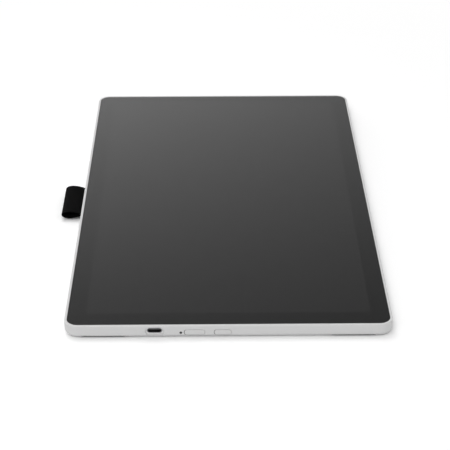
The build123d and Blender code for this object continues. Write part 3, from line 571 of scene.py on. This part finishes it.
def foamed_pad():
    """Open cell polyurethane foam, die cut: mid grey with small pores."""
    made, tree, surface, place = start_material("polyurethane_foam_die_cut", "#5A5A5C", 0.92)
    cells = add_node(tree, "ShaderNodeTexVoronoi", {"Vector": place, "Scale": 1 / (0.45 * MM)})["Distance"]
    # The pores get painted shade: darker grey where the bump sinks into each cell.
    pores = add_node(tree, "ShaderNodeMapRange", {"Value": cells, 1: 0.1, 2: 0.6, 3: 1.0, 4: 0.0})["Result"]
    add_node(
        tree,
        "ShaderNodeMix",
        {0: pores, 6: rgba("#6A6A6C"), 7: rgba("#3C3C3E")},
        {2: surface["Base Color"]},
        data_type="RGBA",
    )
    add_node(
        tree,
        "ShaderNodeBump",
        {"Height": cells, "Distance": 0.15 * MM, "Strength": 0.8},
        {"Normal": surface["Normal"]},
    )
    return made


def dull_black_polymer(name, dark, light, roughness, ior, tooth_size):
    """Black polymer, moulded thin or slit as tape: dull, with a grey bloom and a slight tooth."""
    made, tree, surface, place = start_material(name, dark, roughness, ior=ior)
    skin = add_node(
        tree, "ShaderNodeTexNoise", {"Vector": place, "Scale": 1 / (tooth_size * MM), "Detail": 3.0}
    )["Fac"]
    add_node(
        tree,
        "ShaderNodeMix",
        {0: skin, 6: rgba(dark), 7: rgba(light)},
        {2: surface["Base Color"]},
        data_type="RGBA",
    )
    add_node(
        tree,
        "ShaderNodeBump",
        {"Height": skin, "Distance": 0.012 * MM, "Strength": 0.5},
        {"Normal": surface["Normal"]},
    )
    return made


class CaseSettings(bpy.types.PropertyGroup):
    """White case and its keys."""

    case_colour: bpy.props.FloatVectorProperty(
        name="Case colour",
        description="Pigment of the moulded case",
        subtype="COLOR",
        default=linear("#DDDDDD"),
        min=0.0,
        max=1.0,
    )
    case_grain: bpy.props.FloatProperty(
        name="Mould grain", description="Width of the drawn pebble", unit="LENGTH", default=0.3 * MM
    )


class GlassSettings(bpy.types.PropertyGroup):
    """Etched cover glass and the display under it."""

    active_length: bpy.props.FloatProperty(
        name="Display length", description="Lit area along the long side", unit="LENGTH", default=309.4 * MM
    )
    active_width: bpy.props.FloatProperty(
        name="Display width", description="Lit area across the long side", unit="LENGTH", default=174.0 * MM
    )
    print_edge: bpy.props.FloatProperty(
        name="Print edge",
        description="Width over which the printed border ends",
        unit="LENGTH",
        default=0.3 * MM,
    )
    display_colour: bpy.props.FloatVectorProperty(
        name="Display colour",
        description="Display seen through the glass while it is off",
        subtype="COLOR",
        default=linear("#1B1B1B"),
        min=0.0,
        max=1.0,
    )
    border_colour: bpy.props.FloatVectorProperty(
        name="Border colour",
        description="Print behind the glass",
        subtype="COLOR",
        default=linear("#0A0A0A"),
        min=0.0,
        max=1.0,
    )
    etch_roughness: bpy.props.FloatProperty(
        name="Etch",
        description="Roughness that the acid leaves",
        subtype="FACTOR",
        default=0.23,
        min=0.06,
        max=0.9,
    )
    etch_grain: bpy.props.FloatProperty(
        name="Etch grain", description="Size of the drawn pits", unit="LENGTH", default=0.25 * MM
    )


class LoopSettings(bpy.types.PropertyGroup):
    """Elastic pen loop."""

    elastic_colour: bpy.props.FloatVectorProperty(
        name="Elastic colour",
        description="Dye of the elastic",
        subtype="COLOR",
        default=linear("#0D0D0D"),
        min=0.0,
        max=1.0,
    )
    fabric: bpy.props.FloatProperty(
        name="Fabric", description="Thickness of the elastic", unit="LENGTH", default=0.66 * MM
    )
    cord_spacing: bpy.props.FloatProperty(
        name="Cord spacing",
        description="Distance between the cords that run round the loop",
        unit="LENGTH",
        default=1.25 * MM,
    )
    cord_relief: bpy.props.FloatProperty(
        name="Cord relief", description="How far each cord stands up", unit="LENGTH", default=0.12 * MM
    )
    thread_spacing: bpy.props.FloatProperty(
        name="Thread spacing",
        description="Distance between the cross threads",
        unit="LENGTH",
        default=0.6 * MM,
    )
    crown_share: bpy.props.FloatProperty(
        name="Crown",
        description="Where the loop is fullest, as a share of its reach",
        subtype="FACTOR",
        default=0.66,
        min=0.3,
        max=0.9,
    )
    proud_near: bpy.props.FloatProperty(
        name="Proud, near end",
        description="How far the elastic spreads past its solid",
        unit="LENGTH",
        default=1.0 * MM,
    )
    proud_far: bpy.props.FloatProperty(
        name="Proud, far end",
        description="How far the elastic spreads past its solid",
        unit="LENGTH",
        default=-0.2 * MM,
    )
    proud_fold: bpy.props.FloatProperty(
        name="Proud, fold",
        description="How far the fold stands out past its solid",
        unit="LENGTH",
        default=0.3 * MM,
    )
    proud_faces: bpy.props.FloatProperty(
        name="Proud, faces",
        description="How far both faces swell past their solid",
        unit="LENGTH",
        default=0.3 * MM,
    )


class StudioSettings(bpy.types.PropertyGroup):
    """Camera and light."""

    camera_place: bpy.props.FloatVectorProperty(
        name="Camera place",
        description="Where the camera stands",
        subtype="TRANSLATION",
        unit="LENGTH",
        default=(-0.8761, 0.00352, 0.4771),
    )
    camera_down: bpy.props.FloatProperty(
        name="Camera down",
        description="Angle below level",
        subtype="ANGLE",
        default=math.radians(29.378),
    )
    camera_turn: bpy.props.FloatProperty(
        name="Camera turn",
        description="Turn from straight along the long side",
        subtype="ANGLE",
        default=math.radians(-0.6714),
    )
    lens: bpy.props.FloatProperty(name="Lens", description="Focal length", unit="CAMERA", default=112.41)
    sky: bpy.props.FloatProperty(
        name="Room light", description="Strength of the even light from all round", default=0.55
    )
    far_sky: bpy.props.FloatProperty(
        name="Far room light", description="Strength of the even light beyond the tablet", default=0.22
    )
    window: bpy.props.FloatProperty(
        name="Window", description="Strength of the low light beyond the tablet", default=1.86
    )
    floor_colour: bpy.props.FloatVectorProperty(
        name="Floor colour",
        description="Pale paper that the tablet stands on",
        subtype="COLOR",
        default=linear("#E4E4E4"),
        min=0.0,
        max=1.0,
    )
    glow: bpy.props.FloatProperty(
        name="Light under the tablet",
        description="Light that the paper hands on to the underside",
        default=0.6,
    )
    glow_inset: bpy.props.FloatProperty(
        name="Inset of that light",
        description="From the edge of the tablet",
        unit="LENGTH",
        default=6.0 * MM,
    )
    paper_seen: bpy.props.FloatVectorProperty(
        name="Paper seen",
        description="Shade of the paper for the camera: over one, so that it reads white in soft light",
        subtype="COLOR",
        default=(1.22, 1.22, 1.22),
        min=0.0,
        max=2.0,
    )


def loop_box(settings):
    """Corners of the woven loop: those of its solid, and a little more where the soft elastic spreads."""
    low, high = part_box("pen_loop")
    low = Vector((low.x - settings.proud_near, low.y, low.z - settings.proud_faces))
    spread = Vector((settings.proud_far, settings.proud_fold, settings.proud_faces))
    return low, high + spread


def loop_path(settings):
    """Middle line of the folded elastic in the Y-Z plane, evenly stepped, with the length run up to each.

    The elastic comes out of the slot, fills out towards the fold and comes back the same way below.
    """
    low, high = loop_box(settings)
    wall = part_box("back_cover")[1].y
    middle = (low.z + high.z) / 2
    half = (high.z - low.z) / 2 - settings.fabric / 2
    root = settings.fabric / 2 + 0.02 * MM
    reach = high.y - settings.fabric / 2 - settings.cord_relief - wall
    crown = reach * settings.crown_share
    upper = [(low.y + (wall - low.y) * i / TAIL_STEPS, root) for i in range(TAIL_STEPS)]
    for i in range(RISE_STEPS):
        share = i / RISE_STEPS
        upper.append((wall + crown * share, root + (half - root) * math.sin(math.pi / 2 * share)))
    for i in range(FOLD_STEPS):
        angle = math.pi / 2 * i / FOLD_STEPS
        upper.append((wall + crown + (reach - crown) * math.sin(angle), half * math.cos(angle)))
    line = upper + [(wall + reach, 0.0)] + [(y, -z) for y, z in reversed(upper)]
    line = [Vector((y, z + middle)) for y, z in line]
    # The elastic can't hold a sharp crease, so the line is eased outside the slot.
    for _ in range(EASINGS):
        eased = line[:]
        for i in range(HELD_STEPS, len(line) - HELD_STEPS):
            eased[i] = (line[i - 1] + 2 * line[i] + line[i + 1]) / 4
        line = eased
    lengths = [0.0]
    for a, b in zip(line, line[1:]):
        lengths.append(lengths[-1] + (b - a).length)
    stepped = []
    j = 0
    for i in range(LOOP_STEPS + 1):
        want = lengths[-1] * i / LOOP_STEPS
        while j < len(line) - 2 and lengths[j + 1] < want:
            j += 1
        share = (want - lengths[j]) / (lengths[j + 1] - lengths[j])
        stepped.append((line[j].lerp(line[j + 1], min(share, 1.0)), want))
    return stepped


def build_pen_loop(settings):
    """Closed fabric shell: cords as real ridges outside and in, rounded selvedges and open ends."""
    low, high = loop_box(settings)
    path = loop_path(settings)
    width = high.x - low.x
    columns = CORD_COLUMNS * round(width / settings.cord_spacing)
    mesh = bmesh.new()
    weave = mesh.verts.layers.float_vector.new("weave")
    sides = []
    for side in (1, -1):
        rows = []
        for i, (point, run) in enumerate(path):
            before = path[max(i - 1, 0)][0]
            after = path[min(i + 1, len(path) - 1)][0]
            along = (after - before).normalized()
            # Outward from the loop: left of the way round, which goes out over the top and back below.
            out = Vector((-along.y, along.x))
            row = []
            for k in range(columns + 1):
                across = k / columns
                x = low.x + width * across
                ridge = abs(math.sin(math.pi * (x - low.x) / settings.cord_spacing))
                selvedge = min(across, 1 - across) * width / settings.fabric
                round_off = math.sqrt(max(1 - (1 - min(selvedge * 2, 1)) ** 2, 0.0))
                reach = settings.fabric / 2 * (EDGE_SHARE + (1 - EDGE_SHARE) * round_off)
                reach += settings.cord_relief * (ridge - 0.5) * round_off * (1 if side > 0 else 0.5)
                place = point + out * side * reach
                vert = mesh.verts.new((x, place.x, place.y))
                vert[weave] = ((x - low.x) / MM, run / MM, float(side))
                row.append(vert)
            rows.append(row)
        sides.append(rows)
    last = len(path) - 1
    for rows, flip in ((sides[0], False), (sides[1], True)):
        for i in range(last):
            for k in range(columns):
                face = [rows[i][k], rows[i][k + 1], rows[i + 1][k + 1], rows[i + 1][k]]
                mesh.faces.new(face[::-1] if flip else face)
    for k in range(columns):
        mesh.faces.new([sides[1][0][k], sides[1][0][k + 1], sides[0][0][k + 1], sides[0][0][k]])
        mesh.faces.new([sides[0][last][k], sides[0][last][k + 1], sides[1][last][k + 1], sides[1][last][k]])
    for i in range(last):
        mesh.faces.new([sides[0][i][0], sides[0][i + 1][0], sides[1][i + 1][0], sides[1][i][0]])
        mesh.faces.new(
            [sides[1][i][columns], sides[1][i + 1][columns], sides[0][i + 1][columns], sides[0][i][columns]]
        )
    bmesh.ops.recalc_face_normals(mesh, faces=mesh.faces)
    for face in mesh.faces:
        face.smooth = True
    data = bpy.data.meshes.new("pen_loop_elastic")
    mesh.to_mesh(data)
    mesh.free()
    piece = bpy.data.objects.new("pen_loop_elastic", data)
    bpy.context.scene.collection.objects.link(piece)
    return piece


class TABLET_OT_white_case(bpy.types.Operator):
    """Finish the white moulded case and the two keys in its wall"""

    bl_idname = "tablet.white_case"
    bl_label = "White Case and Keys"

    def execute(self, context):
        shade(moulded_white_abs(context.scene.tablet_case), "back_cover", "power_key", "menu_key")
        return {"FINISHED"}


class TABLET_OT_cover_glass(bpy.types.Operator):
    """Finish the etched cover glass with its printed border"""

    bl_idname = "tablet.cover_glass"
    bl_label = "Cover Glass"

    def execute(self, context):
        shade(etched_cover_glass(context.scene.tablet_glass), "cover_glass")
        return {"FINISHED"}


class TABLET_OT_pen_loop(bpy.types.Operator):
    """Weave the elastic pen loop that stands for the packed one"""

    bl_idname = "tablet.pen_loop"
    bl_label = "Pen Loop"

    def execute(self, context):
        settings = context.scene.tablet_loop
        piece = build_pen_loop(settings)
        piece.data.materials.append(woven_elastic(settings))
        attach(piece, TABLET)
        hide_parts("pen_loop")
        return {"FINISHED"}


class TABLET_OT_port_and_light(bpy.types.Operator):
    """Finish the USB-C port and the status light's pipe"""

    bl_idname = "tablet.port_and_light"
    bl_label = "Port and Light"

    def execute(self, context):
        shade(plated_steel("stainless_steel_stamped", "#8E8F92", 0.3), "usb_c_shell")
        shade(gold_plated_copper(), "usb_c_contacts")
        shade(
            dull_black_polymer("liquid_crystal_polymer_moulded", "#0B0B0C", "#18181A", 0.45, 1.6, 0.4),
            "usb_c_tongue",
        )
        shade(
            dull_black_polymer("polycarbonate_smoked_moulded", "#0B0C0D", "#17181A", 0.5, 1.58, 0.6),
            "light_pipe",
        )
        shade(satin_plastic("epoxy_lamp_resin_cast", "#E0DAB2", 0.2, 0.5, 1.52), "status_led")
        return {"FINISHED"}


class TABLET_OT_feet(bpy.types.Operator):
    """Finish the four rubber feet"""

    bl_idname = "tablet.feet"
    bl_label = "Rubber Feet"

    def execute(self, context):
        shade(moulded_rubber(), "foot_front_left", "foot_front_right", "foot_rear_left", "foot_rear_right")
        return {"FINISHED"}


class TABLET_OT_display_layers(bpy.types.Operator):
    """Finish the display cell, the backlight and the pen sensor"""

    bl_idname = "tablet.display_layers"
    bl_label = "Display Layers"

    def execute(self, context):
        shade(float_glass(), "colour_filter_glass", "array_glass")
        shade(satin_plastic("acrylic_adhesive_cast", "#C9CED2", 0.2, 0.5), "optical_adhesive")
        shade(satin_plastic("polyester_film_diffusing", "#EDEFF0", 0.45, 0.3), "backlight_films")
        shade(satin_plastic("acrylic_light_guide_moulded", "#DDE3E6", 0.15, 0.6), "light_guide")
        shade(satin_plastic("polyester_reflector_foamed", "#F2F2F0", 0.6, 0.4), "reflector_sheet")
        shade(satin_plastic("polycarbonate_white_moulded", "#E7E7E4", 0.5, 0.4), "backlight_frame")
        shade(satin_plastic("lamp_strip_white_mask", "#E2E0D2", 0.4, 0.8), "backlight_strip")
        shade(rolled_metal_sheet("galvanised_steel_folded", "#9FA2A5", 0.38), "backlight_tray")
        shade(solder_mask_board("sensor_board_solder_mask", "#123A24", "#2A6B44"), "pen_sensor_board")
        shade(rolled_metal_sheet("aluminium_foil_rolled", "#C4C6C8", 0.3), "sensor_shield")
        shade(rolled_metal_sheet("aluminium_sheet_pressed", "#AEB1B4", 0.4), "stiffening_plate")
        return {"FINISHED"}


class TABLET_OT_boards_and_cables(bpy.types.Operator):
    """Finish the circuit boards, chips, switches, connectors and flat cables"""

    bl_idname = "tablet.boards_and_cables"
    bl_label = "Boards and Cables"

    def execute(self, context):
        shade(
            solder_mask_board("main_board_solder_mask", "#0F3322", "#27613F"),
            "main_board",
            "display_driver_board",
        )
        shade(
            dull_black_polymer("epoxy_chip_moulded", "#18191B", "#26272A", 0.5, 1.55, 0.18),
            "board_chips",
            "processor",
            "power_switch",
            "menu_switch",
        )
        shade(
            satin_plastic("nylon_connector_moulded", "#D8D2C2", 0.5, 0.4),
            "display_connectors",
            "sensor_connector",
        )
        shade(
            satin_plastic("acetal_plunger_moulded", "#E6E2DA", 0.45, 0.4),
            "power_switch_plunger",
            "menu_switch_plunger",
        )
        shade(polyimide_flex(), "display_cable", "sensor_cable", "display_tails")
        shade(plated_steel("tinned_steel_drawn", "#B4B6B8", 0.32), "shield_can")
        shade(satin_plastic("polyester_insulating_sheet", "#2B2C30", 0.35, 0.6), "insulating_sheet")
        return {"FINISHED"}


class TABLET_OT_frame_and_fasteners(bpy.types.Operator):
    """Finish the inner frame, tapes, pads, inserts and screws"""

    bl_idname = "tablet.frame_and_fasteners"
    bl_label = "Frame and Fasteners"

    def execute(self, context):
        shade(moulded_black_nylon(), "mid_frame")
        shade(
            dull_black_polymer("polyester_tape_slit", "#0C0C0D", "#191919", 0.7, 1.5, 0.4),
            "glass_tape",
            "driver_board_tape",
        )
        shade(foamed_pad(), "foam_pads")
        shade(turned_brass(), "threaded_inserts")
        shade(plated_steel("galvanised_steel_clamp", "#A9ABAE", 0.36), "loop_clamp")
        shade(
            plated_steel("steel_screw_zinc_plated", "#9B9DA1", 0.34),
            "cover_screws",
            "board_screws",
            "plate_screws",
            "loop_clamp_screws",
        )
        return {"FINISHED"}


def paper_floor(settings):
    """Wide paper roll: pale and matt, seen white by the camera and in reflections, and gone from below.

    Near the tablet it keeps the shadow. Further off it fades to plain white, so that no edge shows. Under
    the tablet it hands light on, which the camera doesn't see, so that the underside isn't black from below.
    """
    made = bpy.data.materials.new("paper_roll_matt")
    made.use_nodes = True
    tree = made.node_tree
    tree.nodes.clear()
    # The camera and every reflection see the paper, and other rays meet what lights the tablet.
    rays = add_node(tree, "ShaderNodeLightPath")
    seen = add_node(
        tree, "ShaderNodeMath", {0: rays["Is Camera Ray"], 1: rays["Is Glossy Ray"]}, operation="MAXIMUM"
    )[0]
    seen = add_node(
        tree, "ShaderNodeMath", {0: seen, 1: rays["Is Transmission Ray"]}, operation="MAXIMUM"
    )[0]
    place = add_node(tree, "ShaderNodeTexCoord")["Object"]
    low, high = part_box("back_cover")
    off = add_node(
        tree, "ShaderNodeVectorMath", {0: place, 1: tuple((low + high) / 2)}, operation="SUBTRACT"
    )[0]
    folded = add_node(tree, "ShaderNodeVectorMath", {0: off}, operation="ABSOLUTE")[0]
    inset = Vector((settings.glow_inset, settings.glow_inset, 0.0))
    past = add_node(
        tree, "ShaderNodeVectorMath", {0: folded, 1: tuple((high - low) / 2 - inset)}, operation="SUBTRACT"
    )[0]
    axes = add_node(tree, "ShaderNodeSeparateXYZ", {0: past})
    outside = add_node(tree, "ShaderNodeMath", {0: axes[0], 1: axes[1]}, operation="MAXIMUM")[0]
    inside = add_node(tree, "ShaderNodeMath", {0: outside, 1: 0.0}, operation="LESS_THAN")[0]
    handed = add_node(tree, "ShaderNodeEmission", {"Strength": settings.glow})[0]
    bounced = add_node(tree, "ShaderNodeBsdfDiffuse", {"Color": rgba(settings.floor_colour)})[0]
    matt = add_node(tree, "ShaderNodeMixShader", {0: inside, 1: bounced, 2: handed})[0]
    paper = add_node(tree, "ShaderNodeBsdfDiffuse", {"Color": rgba(settings.paper_seen)})[0]
    white = add_node(tree, "ShaderNodeEmission", {"Strength": 1.0})[0]
    away = add_node(tree, "ShaderNodeVectorMath", {0: place}, operation="LENGTH")["Value"]
    far = add_node(tree, "ShaderNodeMapRange", {"Value": away, 1: 0.24, 2: 0.5, 3: 0.0, 4: 1.0})["Result"]
    shown = add_node(tree, "ShaderNodeMixShader", {0: far, 1: paper, 2: white})[0]
    both = add_node(tree, "ShaderNodeMixShader", {0: seen, 1: matt, 2: shown})[0]
    clear = add_node(tree, "ShaderNodeBsdfTransparent")[0]
    below = add_node(tree, "ShaderNodeNewGeometry")["Backfacing"]
    sided = add_node(tree, "ShaderNodeMixShader", {0: below, 1: both, 2: clear})[0]
    add_node(tree, "ShaderNodeOutputMaterial", {"Surface": sided})
    return made


def light_room(settings):
    """White walls round the horizon, a dimmer ceiling, and a window low beyond the tablet on its left."""
    world = bpy.data.worlds.new("white_room")
    bpy.context.scene.world = world
    world.use_nodes = True
    tree = world.node_tree
    tree.nodes.clear()
    toward = add_node(tree, "ShaderNodeTexCoord")["Generated"]
    axes = add_node(tree, "ShaderNodeSeparateXYZ", {0: toward})
    # The ceiling dims beyond the tablet, where the glass mirrors it.
    ceiling = add_node(
        tree, "ShaderNodeMapRange", {"Value": axes[0], 1: 0.0, 2: 0.7, 3: settings.sky, 4: settings.far_sky}
    )["Result"]
    # The window grows away from the camera, towards the horizon and from right to left.
    ahead = add_node(
        tree, "ShaderNodeMapRange", {"Value": axes[0], 1: 0.1, 2: 0.8, 3: 0.0, 4: settings.window}
    )["Result"]
    low = add_node(
        tree, "ShaderNodeMapRange", {"Value": axes[2], 1: 0.54, 2: 0.24, 3: 0.0, 4: 1.0}
    )["Result"]
    left = add_node(
        tree, "ShaderNodeMapRange", {"Value": axes[1], 1: -0.2, 2: 0.12, 3: 0.35, 4: 1.5}
    )["Result"]
    window = add_node(tree, "ShaderNodeMath", {0: ahead, 1: low}, operation="MULTIPLY")[0]
    level = add_node(tree, "ShaderNodeMath", {0: window, 1: left, 2: ceiling}, operation="MULTIPLY_ADD")[0]
    # The walls are white, and fade out where the ceiling begins.
    walls = add_node(
        tree, "ShaderNodeMapRange", {"Value": axes[2], 1: 0.08, 2: 0.24, 3: 1.0, 4: 0.0}
    )["Result"]
    shown = add_node(tree, "ShaderNodeMath", {0: level, 1: walls}, operation="MAXIMUM")[0]
    back = add_node(tree, "ShaderNodeBackground", {"Strength": shown})[0]
    add_node(tree, "ShaderNodeOutputWorld", {"Surface": back})


def add_softbox(name, place, size, radiance):
    """Rectangular soft light aimed at the tablet, by the brightness of its face."""
    data = bpy.data.lights.new(name, "AREA")
    data.shape = "RECTANGLE"
    data.size, data.size_y = size
    data.energy = radiance * math.pi * size[0] * size[1]
    lamp = bpy.data.objects.new(name, data)
    bpy.context.scene.collection.objects.link(lamp)
    lamp.location = place
    lamp.rotation_euler = (-Vector(place)).to_track_quat("-Z", "Y").to_euler()


class TABLET_OT_studio(bpy.types.Operator):
    """Set the camera, the paper floor and the soft light"""

    bl_idname = "tablet.studio"
    bl_label = "Studio"

    def execute(self, context):
        scene = context.scene
        settings = scene.tablet_studio
        camera_data = bpy.data.cameras.new("camera")
        camera_data.lens = settings.lens
        camera_data.sensor_width = 36.0
        camera_data.clip_start = 0.01
        camera = bpy.data.objects.new("camera", camera_data)
        scene.collection.objects.link(camera)
        camera.location = settings.camera_place
        camera.rotation_euler = (
            math.pi / 2 - settings.camera_down,
            0.0,
            settings.camera_turn - math.pi / 2,
        )
        scene.camera = camera

        mesh = bmesh.new()
        bmesh.ops.create_grid(mesh, x_segments=8, y_segments=8, size=PAPER_REACH)
        data = bpy.data.meshes.new("paper_floor")
        mesh.to_mesh(data)
        mesh.free()
        floor = bpy.data.objects.new("paper_floor", data)
        scene.collection.objects.link(floor)
        floor.location.z = -PAPER_DROP
        data.materials.append(paper_floor(settings))

        light_room(settings)
        for name, (place, size, radiance) in SOFTBOXES.items():
            add_softbox(name, place, size, radiance)
        scene.view_settings.view_transform = "Standard"
        return {"FINISHED"}


SETTINGS = {
    "tablet_case": CaseSettings,
    "tablet_glass": GlassSettings,
    "tablet_loop": LoopSettings,
    "tablet_studio": StudioSettings,
}
OPERATORS = (
    TABLET_OT_studio,
    TABLET_OT_white_case,
    TABLET_OT_cover_glass,
    TABLET_OT_pen_loop,
    TABLET_OT_port_and_light,
    TABLET_OT_feet,
    TABLET_OT_display_layers,
    TABLET_OT_boards_and_cables,
    TABLET_OT_frame_and_fasteners,
)


class TABLET_PT_sidebar(bpy.types.Panel):
    """Settings and steps of the tablet"""

    bl_label = "Pen Display Tablet"
    bl_idname = "TABLET_PT_sidebar"
    bl_space_type = "VIEW_3D"
    bl_region_type = "UI"
    bl_category = "Tablet"

    def draw(self, context):
        for operator in OPERATORS:
            self.layout.operator(operator.bl_idname)
        for name, group in SETTINGS.items():
            box = self.layout.box()
            box.label(text=group.__doc__)
            for setting in group.__annotations__:
                box.prop(getattr(context.scene, name), setting)


def register():
    for name, group in SETTINGS.items():
        bpy.utils.register_class(group)
        setattr(bpy.types.Scene, name, bpy.props.PointerProperty(type=group))
    for operator in OPERATORS:
        bpy.utils.register_class(operator)
    bpy.utils.register_class(TABLET_PT_sidebar)


def unregister():
    bpy.utils.unregister_class(TABLET_PT_sidebar)
    for operator in reversed(OPERATORS):
        bpy.utils.unregister_class(operator)
    for name, group in reversed(list(SETTINGS.items())):
        delattr(bpy.types.Scene, name)
        bpy.utils.unregister_class(group)


def main():
    """Dress the whole tablet."""
    register()
    for operator in OPERATORS:
        area, step = operator.bl_idname.split(".")
        getattr(getattr(bpy.ops, area), step)()
    bpy.context.view_layer.update()


if __name__ == "__main__":
    main()
